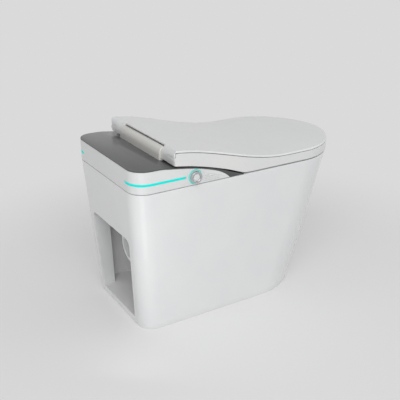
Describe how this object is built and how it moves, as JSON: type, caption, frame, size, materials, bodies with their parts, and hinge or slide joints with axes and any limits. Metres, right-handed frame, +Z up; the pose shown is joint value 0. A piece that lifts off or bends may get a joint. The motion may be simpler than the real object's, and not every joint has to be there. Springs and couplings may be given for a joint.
{
  "type": "one-piece elongated toilet",
  "caption": "Skirted one-piece elongated ceramic toilet with washing seat, slim soft-close lid, low rear housing, side knob, wash wands and an open back for the waste outlet.",
  "frame": {"origin": "on the floor under the middle of the overall length, on the plane of symmetry", "axes": "+Z up, -Y towards the front of the bowl, -X towards the user's right hand"},
  "size_m": [0.3884, 0.721, 0.5164],
  "materials": {
    "glaze": "glossy white glaze",
    "white_shell": "glossy white moulding",
    "seat_plastic": "satin white moulding",
    "dark_panel": "satin dark grey",
    "hinge_grey": "satin pale grey",
    "chassis_grey": "matt grey",
    "light_guide": "lit turquoise light guide",
    "chrome": "polished",
    "steel": "brushed",
    "brass": "plain",
    "rubber": "soft grey",
    "circuit_green": "matt green laminate",
    "black_plastic": "matt black",
    "white_plastic": "matt white"
  },
  "bodies": {
    "base": {"air_pump": "black_plastic", "board_tray": "black_plastic", "ceramic_body": "glaze", "chassis_plate": "chassis_grey", "control_board": "circuit_green", "deodoriser_cartridge": "black_plastic", "dryer_duct": "white_plastic", "fan_housing": "white_plastic", "fan_motor": "steel", "flush_pipe": "rubber", "flush_pump": "white_plastic", "front_wand_motor": "black_plastic", "heater_tank": "white_plastic", "hinge_block": "hinge_grey", "inlet_valve": "white_plastic", "knob_encoder": "black_plastic", "knob_light_ring": "light_guide", "left_fixing_bolt": "steel", "left_hinge_pin": "steel", "left_light_strip": "light_guide", "left_wing_nut": "white_plastic", "lid_damper": "black_plastic", "power_supply": "steel", "rear_cover": "white_shell", "rear_wand_motor": "black_plastic", "right_fixing_bolt": "steel", "right_hinge_pin": "steel", "right_light_strip": "light_guide", "right_wing_nut": "white_plastic", "seat_damper": "black_plastic", "speaker": "black_plastic", "speaker_grille": "white_shell", "top_panel": "dark_panel", "valve_coil": "brass", "wand_cradle": "white_plastic"},
    "seat": {"seat": "seat_plastic", "seat_bumper_front_left": "rubber", "seat_bumper_front_right": "rubber", "seat_bumper_middle_left": "rubber", "seat_bumper_middle_right": "rubber"},
    "lid": {"lid": "white_shell", "lid_bumper_left": "rubber", "lid_bumper_right": "rubber"},
    "knob_stem": {"knob_stem": "steel"},
    "knob": {"knob_rim": "chrome", "knob_face": "white_plastic"},
    "rear_wand": {"rear_wand": "chrome", "rear_wand_tip": "white_plastic"},
    "front_wand": {"front_wand": "chrome", "front_wand_tip": "white_plastic"},
    "dryer_flap": {"dryer_flap": "white_plastic"},
    "fan_impeller": {"fan_impeller": "black_plastic"}
  },
  "joints": [
    {"name": "seat_hinge", "type": "hinge", "parent": "base", "child": "seat", "pos_m": [0, 0.2395, 0.487], "axis": [-1, 0, 0], "range_deg": [0, 95]},
    {"name": "lid_hinge", "type": "hinge", "parent": "seat", "child": "lid", "pos_m": [0, 0.2395, 0.487], "axis": [1, 0, 0], "range_deg": [-100, 0]},
    {"name": "knob_press", "type": "slide", "parent": "base", "child": "knob_stem", "axis": [1, 0, 0], "range_m": [0, 0.002], "stiffness_N_per_m": 600},
    {"name": "knob_turn", "type": "hinge", "parent": "knob_stem", "child": "knob", "pos_m": [-0.195, 0.1879, 0.4391], "axis": [-1, 0, 0], "continuous": true},
    {"name": "rear_wand_slide", "type": "slide", "parent": "base", "child": "rear_wand", "axis": [0, -0.9272, -0.3746], "range_m": [0, 0.075]},
    {"name": "front_wand_slide", "type": "slide", "parent": "base", "child": "front_wand", "axis": [0, -0.9272, -0.3746], "range_m": [0, 0.075]},
    {"name": "dryer_flap_hinge", "type": "hinge", "parent": "base", "child": "dryer_flap", "pos_m": [0.06, 0.0955, 0.429], "axis": [-1, 0, 0], "range_deg": [0, 55]},
    {"name": "fan_spin", "type": "hinge", "parent": "base", "child": "fan_impeller", "pos_m": [0.062, 0.1445, 0.428], "axis": [0, 0, 1], "continuous": true}
  ]
}
